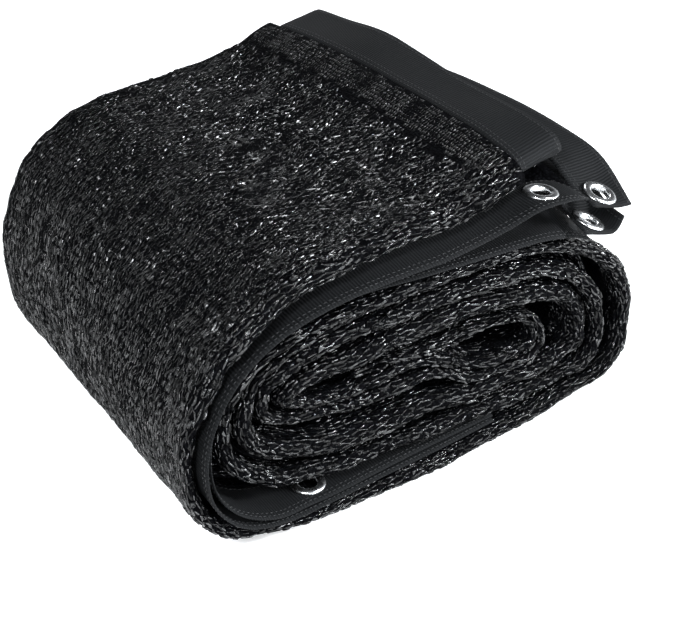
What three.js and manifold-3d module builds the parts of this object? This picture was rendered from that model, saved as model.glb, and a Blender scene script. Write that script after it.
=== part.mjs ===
// Knitted shade cloth with taped edges and metal eyelets, folded lengthwise and rolled up flat.
// Units are millimetres. X runs across the end of the roll, Y along its axis and Z up.
import * as THREE from "three";
import { mergeVertices } from "three/addons/utils/BufferGeometryUtils.js";
import Module from "manifold-3d";

const wasm = await Module();
wasm.setup();

// Driving dimensions
const PACK_LENGTH = 302; // the width of the folded strip, so the length of the roll
const TAPE_WIDTH = 36;
const TAPE_THICK = 1.8;
const EYELET_RADIUS = 11.9;
const EYELET_HOLE_RADIUS = 6.3;
const ROOM_REACH = 5; // how far above and below it an eyelet's place is kept clear of its own tape
const GAP = 0.35; // between pieces that touch

const FRONT = -PACK_LENGTH / 2;
const BACK = PACK_LENGTH / 2;
const RAD = Math.PI / 180;

// The wound band, from the free end on top to the core.
// out and in are the x and z of its two faces where each turn is highest, leftmost, lowest or
// rightmost, and full is how square the bend to the next row is. fold and lap are how thick the
// outer and the inner ridge are on the near end, and foldIn and lapIn how far back they lie.
const TURNS = [
  { side: "start", out: [104, 218], in: [118, 165], full: 0.4, fold: 21, lap: 6, foldIn: 6, lapIn: 48 },
  { side: "top", out: [-40, 192], in: [-40, 158], full: 0.36, fold: 16, lap: 8, foldIn: 6, lapIn: 46 },
  { side: "bend", out: [-147, 166], in: [-129, 143], full: 0.36, fold: 15.5, lap: 5, foldIn: 0, lapIn: 46 },
  { side: "left", out: [-184, 89], in: [-161, 91], full: 0.84, fold: 8.5, lap: 8, foldIn: 3, lapIn: 46 },
  { side: "bottom", out: [7, 0], in: [7, 17.5], full: 0.81, fold: 11.8, lap: 4, foldIn: 0, lapIn: 46 },
  { side: "right", out: [188, 54], in: [165, 60], full: 0.62, fold: 13, lap: 6, foldIn: 4, lapIn: 34 },
  { side: "top", out: [7, 155], in: [7, 141], full: 0.78, fold: 10.5, lap: 2.5, foldIn: 3, lapIn: 12 },
  { side: "left", out: [-159, 94], in: [-134, 97], full: 0.66, fold: 11, lap: 11, foldIn: 7, lapIn: 5 },
  { side: "bottom", out: [-12, 24], in: [-12, 60], full: 0.5, fold: 13, lap: 17, foldIn: 6, lapIn: 4 },
  { side: "bottom", out: [88, 20], in: [88, 45], full: 0.8, fold: 10.5, lap: 11.5, foldIn: 5, lapIn: 8 },
  { side: "right", out: [161, 47], in: [133, 60], full: 0.72, fold: 10, lap: 15, foldIn: 6, lapIn: 8 },
  { side: "top", out: [-12, 138], in: [-12, 104], full: 0.78, fold: 12, lap: 15, foldIn: 5, lapIn: 8 },
  { side: "left", out: [-131, 101], in: [-105, 103], full: 0.6, fold: 11, lap: 11, foldIn: 8, lapIn: 6 },
  { side: "bottom", out: [-12, 73], in: [-12, 91], full: 0.5, fold: 8, lap: 8, foldIn: 6, lapIn: 7 },
  { side: "bottom", out: [64, 50], in: [64, 66], full: 0.8, fold: 7, lap: 7, foldIn: 6, lapIn: 7 },
  { side: "right", out: [104, 62], in: [91, 69], full: 0.8, fold: 6, lap: 6, foldIn: 9, lapIn: 8 },
  { side: "top", out: [7, 98], in: [7, 92.5], full: 0.4, fold: 3, lap: 1.6, foldIn: 8, lapIn: 9 },
  { side: "end", out: [-60, 102], in: [-60, 97.5], full: 0.4, fold: 2.2, lap: 1.6, foldIn: 9, lapIn: 9 },
];
const HEADING = {
  start: [-0.96, -0.28],
  top: [-1, 0],
  bend: [-0.78, -0.62],
  left: [0, -1],
  bottom: [1, 0],
  right: [0, 1],
  end: [-1, 0],
};
const STEPS_PER_TURN = 8;
const CLEFT = 9; // how deep the crease between the two ridges runs
const SEAM_AT = 0.22; // where along the first row the knit ends at its tape
const SEAM_SLANT = 0.2; // how much nearer to the free end its lower layers reach
const SEAM_SPAN = 0.7; // and how far from the seam the roll evens that out
const NOSE = 0.62; // how far a fold bulges, as a share of its thickness
const BACK_BULGE = 11;

// How the whole roll has settled
const PRESSED = 0.9; // the underside is flat where it rests
const FAR_DRIFT = { reach: 20, fromX: 60, toX: -184 }; // the left side leans in towards the far end
const SWELL = { height: 9, y: 20, reach: 165, fromX: -60, toX: 60 }; // the top rises at mid-length

// The two side tapes. x, y and z are where a tape's near edge runs, dx and dz how far its other
// edge lies from that sideways and upward, and wide how much of its width is unfolded. An eyelet
// sits in the straight stretch between the row that says so and the next.
const UPPER_TAPE = [
  { x: 119, y: -156, z: 172.4, dx: 0, dz: 0.5, wide: 8 },
  { x: 110, y: -158.5, z: 177, dx: 0, dz: 1.5, wide: 21 },
  { x: 102.5, y: -160, z: 179.4, dx: 0, dz: -1.5, wide: TAPE_WIDTH, eyelet: true },
  { x: 75.5, y: -160, z: 182.6, dx: 0, dz: -1.5, wide: TAPE_WIDTH },
  { x: 60, y: -157, z: 176.5, dx: 0, dz: 3, wide: TAPE_WIDTH },
  { x: 43, y: -155.5, z: 171, dx: 0, dz: 6, wide: TAPE_WIDTH },
  { x: 20, y: -155, z: 168.6, dx: 0, dz: 7, wide: TAPE_WIDTH },
  { x: 0, y: -155, z: 167.2, dx: 0, dz: 7, wide: TAPE_WIDTH },
  { x: -18, y: -154.5, z: 166.4, dx: 0, dz: 7, wide: TAPE_WIDTH },
  { x: -44, y: -154.5, z: 166.8, dx: 0, dz: 6, wide: TAPE_WIDTH },
  { x: -70, y: -154, z: 165.5, dx: 0, dz: 5, wide: TAPE_WIDTH },
  { x: -96, y: -154, z: 161.8, dx: -1, dz: 3.5, wide: TAPE_WIDTH },
  { x: -119, y: -154, z: 155.2, dx: -1.5, dz: 2, wide: TAPE_WIDTH },
  { x: -141, y: -154, z: 143.4, dx: -0.5, dz: 0.5, wide: TAPE_WIDTH },
  { x: -154.5, y: -155, z: 131.6, dx: 0, dz: 0, wide: TAPE_WIDTH },
  { x: -166, y: -156, z: 112.5, dx: 0, dz: 0, wide: TAPE_WIDTH },
  { x: -173, y: -157, z: 88, dx: -0.5, dz: 0, wide: TAPE_WIDTH },
  { x: -170, y: -157, z: 61, dx: 0, dz: 0, wide: TAPE_WIDTH },
  { x: -159.5, y: -156, z: 40.5, dx: 0, dz: 0, wide: TAPE_WIDTH },
  { x: -143, y: -155, z: 27, dx: 0, dz: 0, wide: TAPE_WIDTH },
  { x: -120, y: -153, z: 19, dx: 0, dz: 0, wide: TAPE_WIDTH },
  { x: -92, y: -151, z: 15.2, dx: 0, dz: 0, wide: TAPE_WIDTH },
  { x: -40, y: -149, z: 14, dx: 0, dz: 0, wide: TAPE_WIDTH },
  { x: 10, y: -147, z: 14.2, dx: 0, dz: 0, wide: TAPE_WIDTH },
  { x: 60, y: -145, z: 14.4, dx: 0, dz: 0, wide: TAPE_WIDTH },
];
const LOWER_TAPE = [
  { x: 129, y: -151, z: 138.5, dx: 0, dz: 6, wide: 24 },
  { x: 115, y: -151.5, z: 144, dx: 0, dz: 11, wide: 30 },
  { x: 101, y: -152, z: 148.6, dx: 0, dz: 9, wide: TAPE_WIDTH },
  { x: 83, y: -152, z: 152.4, dx: 0, dz: 4.5, wide: TAPE_WIDTH },
  { x: 48, y: -152, z: 154.5, dx: 0, dz: 4, wide: TAPE_WIDTH },
  { x: 14, y: -151, z: 156.8, dx: 0, dz: 3.5, wide: TAPE_WIDTH },
  { x: -20, y: -150, z: 158.5, dx: 0, dz: 3, wide: TAPE_WIDTH },
  { x: -52, y: -145, z: 159, dx: 0, dz: 3, wide: TAPE_WIDTH },
  { x: -84, y: -143.5, z: 156, dx: -0.5, dz: 3, wide: TAPE_WIDTH },
  { x: -112, y: -143.5, z: 149.6, dx: -1, dz: 2.5, wide: TAPE_WIDTH },
  { x: -134.6, y: -143.5, z: 140.6, dx: -1, dz: 1, wide: TAPE_WIDTH },
  { x: -150.2, y: -144, z: 127.6, dx: -0.5, dz: 0, wide: TAPE_WIDTH },
  { x: -162, y: -147, z: 108, dx: -2, dz: 0, wide: TAPE_WIDTH },
  { x: -168, y: -151, z: 86, dx: -1, dz: 0, wide: TAPE_WIDTH },
  { x: -165.5, y: -153, z: 64, dx: 0, dz: 0, wide: TAPE_WIDTH },
  { x: -155.5, y: -153, z: 45, dx: 0, dz: 0, wide: TAPE_WIDTH },
  { x: -139.5, y: -153, z: 31.5, dx: 0, dz: 0, wide: TAPE_WIDTH },
  { x: -119, y: -152, z: 22.8, dx: 0, dz: 0, wide: TAPE_WIDTH },
  { x: -101.5, y: -149, z: 19.6, dx: 0, dz: 0.5, wide: TAPE_WIDTH, eyelet: true },
  { x: -74.5, y: -149, z: 18.8, dx: 0, dz: 0.5, wide: TAPE_WIDTH },
  { x: -40, y: -147, z: 17.6, dx: 0, dz: 0, wide: TAPE_WIDTH },
  { x: 10, y: -143, z: 17.4, dx: 0, dz: 0, wide: TAPE_WIDTH },
  { x: 60, y: -143, z: 17.3, dx: 0, dz: 0, wide: TAPE_WIDTH },
];
const TAPE_STEPS = 3; // sections from row to row

// The end tape, layer by layer in the order that the folded end passes them. x, y and z are
// where its seamed edge runs and slope is how it leans to its free edge, in degrees. At its two
// ends it lies over the side tape's end, which makes it wider, and its free side curls up.
const END_TAPE = [
  { layer: "flap", y: -161, x: 118.5, z: 170.2, slope: -16, wide: 37, curl: 10, eyelet: true },
  { layer: "flap", y: -134, x: 120, z: 171.4, slope: -5, wide: 42, curl: 25 },
  { layer: "flap", y: -124, x: 122, z: 180.5, slope: -3, wide: 40, curl: 10 },
  { layer: "flap", y: -112, x: 121.5, z: 184.5, slope: 0 },
  { layer: "flap", y: -50, x: 117, z: 187, slope: 0 },
  { layer: "flap", y: 129, x: 100, z: 186.5, slope: 0 },
  { layer: "under the top", y: 130, x: 84.7, z: 195, slope: 3 },
  { layer: "under the top", y: -90, x: 84.7, z: 194, slope: 3 },
  { layer: "under the top", y: -128, x: 77.5, z: 190, slope: 7 },
  { layer: "top", y: -130, x: 71.7, z: 206, slope: 16.5 },
  { layer: "top", y: -108, x: 72.2, z: 207, slope: 17 },
  { layer: "top", y: -72, x: 72.4, z: 207, slope: 10.5 },
  { layer: "top", y: -36, x: 72.4, z: 207, slope: 7 },
  { layer: "top", y: 4, x: 72.4, z: 207, slope: 9.5 },
  { layer: "top", y: 48, x: 72.4, z: 207, slope: 16.5 },
  { layer: "top", y: 100, x: 72.4, z: 207, slope: 9.5 },
  { layer: "top", y: 139, x: 72.4, z: 206.4, slope: 11.5 },
  { layer: "lowest", y: 134, x: 128, z: 154.5, slope: -12 },
  { layer: "lowest", y: 60, x: 116, z: 154.5, slope: -12 },
  { layer: "lowest", y: -118, x: 112, z: 154.5, slope: -12 },
  { layer: "second lowest", y: -118, x: 116.5, z: 162, slope: -9 },
  { layer: "second lowest", y: 124, x: 116.5, z: 162, slope: -8 },
  { layer: "tab", y: 124, x: 110, z: 170, slope: -7 },
  { layer: "tab", y: -98, x: 114, z: 173.5, slope: -8 },
  { layer: "tab", y: -119, x: 118.5, z: 169, slope: -14, wide: 42, curl: 40 },
  { layer: "tab", y: -133, x: 115, z: 158, slope: -24, wide: 44, curl: 75, eyelet: true },
  { layer: "tab", y: -160, x: 113.5, z: 150.8, slope: -14, wide: 43, curl: 75 },
];
const BEND_STEPS = 6;
const BEND_REACH = 11; // how far a bend of the end tape bulges at most
const END_TAPE_STEP = 26; // between its sections, unless a row comes sooner
const CURL_WIDTH = 14;
const EYELET_IN = 16; // from the seamed edge to the middle of an eyelet on the end tape

function clamp01(value) {
  return Math.min(1, Math.max(0, value));
}

function mix(a, b, share) {
  return a + (b - a) * share;
}

function eased(share) {
  return share * share * (3 - 2 * share);
}

// A point on the band's outer or inner face: a curve from row to row that leaves each one along
// its heading.
function facePoint(face, at) {
  const row = Math.min(Math.floor(at), TURNS.length - 2);
  const from = TURNS[row];
  const to = TURNS[row + 1];
  const spanX = Math.abs(to[face][0] - from[face][0]);
  const spanZ = Math.abs(to[face][1] - from[face][1]);
  const handle = (side) => {
    const [dx, dz] = HEADING[side];
    const reach = from.full * (Math.abs(dx) * spanX + Math.abs(dz) * spanZ);
    return new THREE.Vector2(dx * reach, dz * reach);
  };
  const start = new THREE.Vector2(...from[face]);
  const end = new THREE.Vector2(...to[face]);
  const curve = new THREE.CubicBezierCurve(
    start,
    start.clone().add(handle(from.side)),
    end.clone().sub(handle(to.side)),
    end,
  );
  return curve.getPoint(at - row);
}

function bandAt(at) {
  const row = Math.min(Math.floor(at), TURNS.length - 2);
  const share = eased(at - row);
  const sized = (key) => mix(TURNS[row][key], TURNS[row + 1][key], share);
  const outer = facePoint("out", at);
  const inner = facePoint("in", at);
  return {
    outer,
    inner,
    thick: outer.distanceTo(inner),
    fold: sized("fold"),
    lap: sized("lap"),
    foldIn: sized("foldIn"),
    lapIn: sized("lapIn"),
  };
}

// Moves a point of the ideal roll to where the settled one has it.
function settled(x, y, z) {
  const along = (y - FRONT) / PACK_LENGTH;
  const leftness = clamp01((x - FAR_DRIFT.fromX) / (FAR_DRIFT.toX - FAR_DRIFT.fromX));
  const rightness = eased(clamp01((x - SWELL.fromX) / (SWELL.toX - SWELL.fromX)));
  const swell = SWELL.height * clamp01(1 - ((y - SWELL.y) / SWELL.reach) ** 2);
  const lift = swell * rightness * (z / 200);
  return new THREE.Vector3(
    x + FAR_DRIFT.reach * along * leftness,
    y,
    Math.max(z + lift - PRESSED, 0),
  );
}

// Where a point of the band lies, share being 0 on the outer face and 1 on the inner one.
function placed(at, share, y) {
  const { outer, inner } = bandAt(at);
  const { x, y: z } = outer.lerp(inner, share);
  return settled(x, y, z);
}

// A closed body through rings of points that match one to one, with its two ends capped.
// flat holds the first ring's outline in two dimensions, to cut the caps into triangles.
function loft(rings, flat) {
  const size = rings[0].length;
  const positions = rings.flat().flatMap((p) => p.toArray());
  const faces = [];
  for (let i = 0; i + 1 < rings.length; i++) {
    for (let j = 0; j < size; j++) {
      const a = i * size + j;
      const b = i * size + ((j + 1) % size);
      faces.push([a, b, b + size], [a, b + size, a + size]);
    }
  }
  const last = (rings.length - 1) * size;
  for (const face of THREE.ShapeUtils.triangulateShape(flat, [])) {
    const sameWay = THREE.ShapeUtils.area(face.map((i) => flat[i])) * THREE.ShapeUtils.area(flat) > 0;
    const [a, b, c] = sameWay ? face : [...face].reverse();
    faces.push([c, b, a], [a + last, b + last, c + last]);
  }
  const geometry = new THREE.BufferGeometry();
  geometry.setAttribute("position", new THREE.Float32BufferAttribute(positions, 3));
  geometry.setIndex(faces.flat());
  return facingOut(geometry);
}

function signedVolume(geometry) {
  const position = geometry.getAttribute("position");
  const corner = (i) => new THREE.Vector3().fromBufferAttribute(position, geometry.index.getX(i));
  let volume = 0;
  for (let i = 0; i < geometry.index.count; i += 3) {
    volume += corner(i).dot(corner(i + 1).cross(corner(i + 2))) / 6;
  }
  return volume;
}

function facingOut(geometry) {
  if (signedVolume(geometry) < 0) {
    geometry.index.array.reverse();
  }
  return geometry;
}

function toSolid(geometry) {
  const bare = geometry.clone();
  bare.deleteAttribute("normal");
  bare.deleteAttribute("uv");
  const merged = mergeVertices(bare, 1e-4);
  return new wasm.Manifold(
    new wasm.Mesh({
      numProp: 3,
      vertProperties: merged.getAttribute("position").array,
      triVerts: new Uint32Array(merged.index.array),
    }),
  );
}

function toGeometry(solid) {
  const mesh = solid.getMesh();
  const geometry = new THREE.BufferGeometry();
  geometry.setAttribute("position", new THREE.BufferAttribute(mesh.vertProperties, 3));
  geometry.setIndex(new THREE.BufferAttribute(mesh.triVerts, 1));
  return geometry;
}

// The knitted panel: a section with two rounded ridges, wound along the band

function nose(from, to, tip, steps) {
  const middle = (from + to) / 2;
  const bulge = Math.abs(to - from) * NOSE;
  return Array.from({ length: steps + 1 }, (_, i) => {
    const angle = (Math.PI * i) / steps;
    return [middle + (from - middle) * Math.cos(angle), tip + bulge * (1 - Math.sin(angle))];
  });
}

function clothOutline(band, at) {
  const uneven = 1.3 * Math.sin(9.1 * at) + 0.8 * Math.sin(23 * at + 1);
  const foldTip = FRONT + band.foldIn + uneven;
  const lapTip = FRONT + band.lapIn - uneven;
  const floor = Math.max(foldTip, lapTip) + CLEFT;
  const far = BACK - 1.5 + uneven;
  const stations = [-88, -30, 30, 90];
  const backNose = [0, 1, 2, 3, 4, 5].map((i) => {
    const angle = (Math.PI * i) / 5;
    return [(band.thick * (1 - Math.cos(angle))) / 2, far - BACK_BULGE * (1 - Math.sin(angle))];
  });
  return [
    ...stations.map((y) => [0, y]),
    ...backNose,
    [band.thick, 60],
    [band.thick, -40],
    ...nose(band.thick, band.thick - band.lap, lapTip, 4),
    [band.thick - band.lap, floor],
    [band.fold, floor],
    ...nose(band.fold, 0, foldTip, 6),
  ];
}

function clothGeometry() {
  const last = TURNS.length - 1;
  const count = Math.round((last - SEAM_AT) * STEPS_PER_TURN);
  const sections = Array.from({ length: count + 1 }, (_, i) => mix(SEAM_AT, last, i / count));
  const rings = sections.map((at) => {
    const band = bandAt(at);
    const slant = SEAM_SLANT * clamp01(1 - (at - SEAM_AT) / SEAM_SPAN);
    return clothOutline(band, at).map(([depth, y]) => {
      const below = clamp01((depth - band.fold) / (band.thick - band.fold));
      return placed(at - slant * below, depth / band.thick, y);
    });
  });
  const flat = clothOutline(bandAt(SEAM_AT), SEAM_AT).map((p) => new THREE.Vector2(...p));
  return loft(rings, flat);
}

// Tapes: thin bands through sections, each a line of points from one edge to the other

function tapeRing(line, along) {
  const last = line.length - 1;
  const half = line.map((_, i) => {
    const across = line[Math.min(i + 1, last)].clone().sub(line[Math.max(i - 1, 0)]);
    return across.cross(along).normalize().multiplyScalar(TAPE_THICK / 2);
  });
  const oneFace = line.map((point, i) => point.clone().add(half[i]));
  const otherFace = line.map((point, i) => point.clone().sub(half[i]));
  return [...oneFace, ...otherFace.reverse()];
}

// From the middle of one section to the middle of another.
function heading(from, to) {
  return to.at(0).clone().add(to.at(-1)).sub(from.at(0)).sub(from.at(-1));
}

function tapeGeometry(lines) {
  const rings = lines.map((line, i) => {
    const before = lines[Math.max(i - 1, 0)];
    const after = lines[Math.min(i + 1, lines.length - 1)];
    return tapeRing(line, heading(before, after));
  });
  const upper = lines[0].map((_, i) => new THREE.Vector2(i, 1));
  const lower = lines[0].map((_, i) => new THREE.Vector2(i, 0));
  return loft(rings, [...upper, ...lower.reverse()]);
}

// A place on a flat stretch between two sections, a share of the way across it, and the
// direction that its upper face looks in.
function seat(before, after, share) {
  const near = before[0].clone().lerp(after[0], 0.5);
  const far = before[1].clone().lerp(after[1], 0.5);
  const up = heading(before, after).cross(far.clone().sub(near)).normalize();
  if (up.z < 0) {
    up.negate();
  }
  return { centre: near.lerp(far, share), up };
}

function sideTape(rows) {
  const near = rows.map((row) => settled(row.x, row.y, row.z));
  const far = rows.map((row) => {
    const reach = Math.sqrt(row.wide ** 2 - row.dx ** 2 - row.dz ** 2);
    return settled(row.x + row.dx, row.y + reach, row.z + row.dz);
  });
  const nearCurve = new THREE.CatmullRomCurve3(near);
  const farCurve = new THREE.CatmullRomCurve3(far);
  const lines = [];
  const seats = [];
  rows.forEach((row, index) => {
    const steps = row.eyelet || index === rows.length - 1 ? 1 : TAPE_STEPS;
    for (let i = 0; i < steps; i++) {
      const share = (index + i / steps) / (rows.length - 1);
      lines.push([nearCurve.getPoint(share), farCurve.getPoint(share)]);
    }
    if (row.eyelet) {
      seats.push(seat([near[index], far[index]], [near[index + 1], far[index + 1]], 0.5));
    }
  });
  return { geometry: tapeGeometry(lines), seats };
}

function mixedRow(from, to, share) {
  return {
    x: mix(from.x, to.x, share),
    y: mix(from.y, to.y, share),
    z: mix(from.z, to.z, share),
    slope: mix(from.slope, to.slope, share),
    wide: mix(from.wide ?? TAPE_WIDTH, to.wide ?? TAPE_WIDTH, share),
    curl: mix(from.curl ?? 0, to.curl ?? 0, share),
  };
}

// The rows between two of the end tape: a run along a layer, or the half turn to the next one.
function rowsBetween(from, to) {
  if (from.layer === to.layer) {
    const steps = from.eyelet ? 1 : Math.ceil(Math.abs(to.y - from.y) / END_TAPE_STEP);
    return Array.from({ length: steps - 1 }, (_, i) => {
      const row = mixedRow(from, to, eased((i + 1) / steps));
      return { ...row, y: mix(from.y, to.y, (i + 1) / steps) };
    });
  }
  const side = Math.sign(from.y);
  const bulge = Math.min(Math.abs(to.z - from.z) / 2, BEND_REACH);
  return Array.from({ length: BEND_STEPS - 1 }, (_, i) => {
    const angle = (Math.PI * (i + 1)) / BEND_STEPS;
    const row = mixedRow(from, to, (1 - Math.cos(angle)) / 2);
    return { ...row, y: row.y + side * bulge * Math.sin(angle) };
  });
}

// A section of the end tape: its seamed edge, where it starts to curl, and its free edge.
function endSection({ x, y, z, slope, wide = TAPE_WIDTH, curl = 0 }) {
  const flat = wide - CURL_WIDTH;
  const creaseX = x + flat * Math.cos(slope * RAD);
  const creaseZ = z + flat * Math.sin(slope * RAD);
  const rise = (slope + curl) * RAD;
  return [
    settled(x, y, z),
    settled(creaseX, y, creaseZ),
    settled(creaseX + CURL_WIDTH * Math.cos(rise), y, creaseZ + CURL_WIDTH * Math.sin(rise)),
  ];
}

function endTape() {
  const rows = END_TAPE.flatMap((row, index) => {
    const next = END_TAPE[index + 1];
    return next ? [row, ...rowsBetween(row, next)] : [row];
  });
  const lines = rows.map(endSection);
  const seats = rows.flatMap((row, index) => {
    const share = EYELET_IN / (row.wide - CURL_WIDTH);
    return row.eyelet ? [seat(lines[index], lines[index + 1], share)] : [];
  });
  return { geometry: tapeGeometry(lines), seats };
}

// Eyelets: a rolled rim and a back washer on one barrel, closed around the tape

function eyeletGeometry(segments = 24) {
  const wall = EYELET_HOLE_RADIUS + 0.6;
  const slot = TAPE_THICK / 2 + GAP;
  const profile = [
    [EYELET_HOLE_RADIUS, -slot - 0.7],
    [wall + 0.4, -slot - 1],
    [EYELET_RADIUS - 0.8, -slot - 0.8],
    [EYELET_RADIUS - 0.2, -slot],
    [wall, -slot],
    [wall, slot],
    [EYELET_RADIUS, slot],
    [EYELET_RADIUS, slot + 0.6],
    [EYELET_RADIUS - 1, slot + 1.5],
    [EYELET_RADIUS - 2.9, slot + 1.8],
    [wall + 0.3, slot + 1.2],
    [EYELET_HOLE_RADIUS, slot + 0.4],
    [EYELET_HOLE_RADIUS, -slot - 0.7],
  ].map((p) => new THREE.Vector2(...p));
  const geometry = new THREE.LatheGeometry(profile, segments);
  return geometry.rotateX(Math.PI / 2);
}

// What an eyelet needs free of tape: its barrel and the room of its two rims.
function eyeletRoom() {
  const face = TAPE_THICK / 2 + 0.02;
  const rim = EYELET_RADIUS + GAP;
  const barrel = EYELET_HOLE_RADIUS + 0.6 + GAP;
  const profile = [
    [0, -ROOM_REACH],
    [rim, -ROOM_REACH],
    [rim, -face],
    [barrel, -face],
    [barrel, face],
    [rim, face],
    [rim, ROOM_REACH],
    [0, ROOM_REACH],
  ];
  const geometry = new THREE.LatheGeometry(profile.map((p) => new THREE.Vector2(...p)), 24);
  return geometry.rotateX(Math.PI / 2);
}

function atSeat(geometry, { centre, up }) {
  const turn = new THREE.Quaternion().setFromUnitVectors(new THREE.Vector3(0, 0, 1), up);
  return geometry.applyQuaternion(turn).translate(...centre.toArray());
}

function cutForEyelets({ geometry, seats }) {
  const cut = seats.reduce(
    (solid, place) => solid.subtract(toSolid(facingOut(atSeat(mergedRoom(), place)))),
    toSolid(geometry),
  );
  return toGeometry(cut);
}

function mergedRoom() {
  const room = eyeletRoom();
  room.deleteAttribute("normal");
  room.deleteAttribute("uv");
  return mergeVertices(room, 1e-4);
}

// Materials and assembly

const knit = new THREE.MeshStandardMaterial({ color: 0x17181a, roughness: 0.5, metalness: 0 });
const webbing = new THREE.MeshStandardMaterial({ color: 0x26282b, roughness: 0.75, metalness: 0 });
const metal = new THREE.MeshStandardMaterial({ color: 0xc9cccf, roughness: 0.22, metalness: 1 });

const group = new THREE.Group();

function addPiece(name, geometry, material) {
  const mesh = new THREE.Mesh(geometry, material);
  mesh.name = name;
  group.add(mesh);
}

const upperTape = sideTape(UPPER_TAPE);
const lowerTape = sideTape(LOWER_TAPE);
const endPiece = endTape();

addPiece("cloth_roll", clothGeometry(), knit);
addPiece("end_tape", cutForEyelets(endPiece), webbing);
addPiece("side_tape_upper", cutForEyelets(upperTape), webbing);
addPiece("side_tape_lower", cutForEyelets(lowerTape), webbing);
addPiece("eyelet_upper_tape", atSeat(eyeletGeometry(), upperTape.seats[0]), metal);
addPiece("eyelet_lower_tape", atSeat(eyeletGeometry(), lowerTape.seats[0]), metal);
addPiece("eyelet_end_flap", atSeat(eyeletGeometry(), endPiece.seats[0]), metal);
addPiece("eyelet_end_tab", atSeat(eyeletGeometry(), endPiece.seats[1]), metal);

// The origin is on the ground, under the middle of the whole roll.
const bounds = new THREE.Box3().setFromObject(group, true);
group.position.set(-(bounds.min.x + bounds.max.x) / 2, -(bounds.min.y + bounds.max.y) / 2, -bounds.min.z);

export default group;
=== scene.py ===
"""Dresses the rolled shade cloth: its knit, its edge tapes, their stitches and its eyelets."""
import math

import bpy
import numpy as np
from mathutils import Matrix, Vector, noise


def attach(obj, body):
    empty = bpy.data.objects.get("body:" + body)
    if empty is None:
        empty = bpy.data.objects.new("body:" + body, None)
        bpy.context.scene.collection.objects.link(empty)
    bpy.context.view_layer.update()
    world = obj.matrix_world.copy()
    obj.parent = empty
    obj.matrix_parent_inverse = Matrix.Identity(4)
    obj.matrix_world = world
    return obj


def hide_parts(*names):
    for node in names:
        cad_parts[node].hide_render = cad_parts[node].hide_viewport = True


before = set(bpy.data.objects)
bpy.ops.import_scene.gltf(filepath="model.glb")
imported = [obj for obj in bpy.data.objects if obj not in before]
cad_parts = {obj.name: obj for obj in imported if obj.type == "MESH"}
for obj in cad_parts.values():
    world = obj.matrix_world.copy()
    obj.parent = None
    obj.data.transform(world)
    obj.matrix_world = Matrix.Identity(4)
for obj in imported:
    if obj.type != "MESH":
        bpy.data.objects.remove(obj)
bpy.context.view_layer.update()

# Lengths are in millimetres until to_metres() puts them in the frame.
MM = 0.001
SHIFT = np.array([-2.312, 5.107, 0.0])  # the part stands with its box centred on the origin

PACK_LENGTH = 302.0
TAPE_WIDTH = 36.0
TAPE_THICK = 1.5
EYELET_RADIUS = 11.9
EYELET_HOLE_RADIUS = 6.3
FRONT = -PACK_LENGTH / 2
BACK = PACK_LENGTH / 2

# The wound band, row by row as the part has it: where its outer and inner face are highest,
# leftmost, lowest or rightmost, how full each bend is, and how thick and how far back the outer
# and the inner ridge are on the near end.
COLUMNS = ("side", "out", "in", "full", "fold", "lap", "fold_in", "lap_in")
TURNS = [
    ("start", (104, 218), (118, 165), 0.4, 21, 6, 6, 48),
    ("top", (-40, 192), (-40, 158), 0.36, 16, 8, 6, 46),
    ("bend", (-147, 166), (-129, 143), 0.36, 15.5, 5, 0, 46),
    ("left", (-184, 89), (-161, 91), 0.84, 8.5, 8, 3, 46),
    ("bottom", (7, 0), (7, 17.5), 0.81, 11.8, 4, 0, 46),
    ("right", (188, 54), (165, 60), 0.62, 13, 6, 4, 34),
    ("top", (7, 155), (7, 141), 0.78, 10.5, 2.5, 3, 12),
    ("left", (-159, 94), (-134, 97), 0.66, 11, 11, 7, 5),
    ("bottom", (-12, 24), (-12, 60), 0.5, 13, 17, 6, 4),
    ("bottom", (88, 20), (88, 45), 0.8, 10.5, 11.5, 5, 8),
    ("right", (161, 47), (133, 60), 0.72, 10, 15, 6, 8),
    ("top", (-12, 138), (-12, 104), 0.78, 12, 15, 5, 8),
    ("left", (-131, 101), (-105, 103), 0.6, 11, 11, 8, 6),
    ("bottom", (-12, 73), (-12, 91), 0.5, 8, 8, 6, 7),
    ("bottom", (64, 50), (64, 66), 0.8, 7, 7, 6, 7),
    ("right", (104, 62), (91, 69), 0.8, 6, 6, 9, 8),
    ("top", (7, 98), (7, 92.5), 0.4, 3, 1.6, 8, 9),
    ("end", (-60, 102), (-60, 97.5), 0.4, 2.2, 1.6, 9, 9),
]
TURNS = [dict(zip(COLUMNS, row)) for row in TURNS]
HEADING = {
    "start": (-0.96, -0.28),
    "top": (-1, 0),
    "bend": (-0.78, -0.62),
    "left": (0, -1),
    "bottom": (1, 0),
    "right": (0, 1),
    "end": (-1, 0),
}
LAST = len(TURNS) - 1
SEAM_AT = 0.22  # where the end tape begins, as a place along the band
SEAM_SLANT = 0.2
SEAM_SPAN = 0.7
NOSE = 0.62  # how far a ridge stands out, for its thickness
FAR_BEYOND = 2.5  # how far the far side lies behind the pack's nominal length
BACK_BULGE = 11.0
EDGE_BEHIND = 12.0  # how far the taped edges lie behind the ridges
TUCK_SHORT = 5.0  # how far the inner layers' folds stay short of the far bulge
LEAST_SLACK = 0.6
PANEL_STEP = 7.5
PANEL_HALF_THICK = 0.4
RIPPLES = ((1.3, 9.1, 0), (0.8, 23, 1))  # height, pace and start of the ridges' unevenness
JOINED_TO = 5.6
HALF_WAY = 3.3  # where the yarn on the outer face is parted into two pieces
COVERED_AT = 6.1  # from here on the outer face lies under the turn above it

PRESSED = 0.9
FAR_DRIFT = {"reach": 20, "from_x": 60, "to_x": -184, "low": 0.6, "full_z": 90}
SWELL = {"height": 9, "y": 20, "reach": 165, "from_x": -60, "to_x": 60, "full_z": 200}

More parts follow.
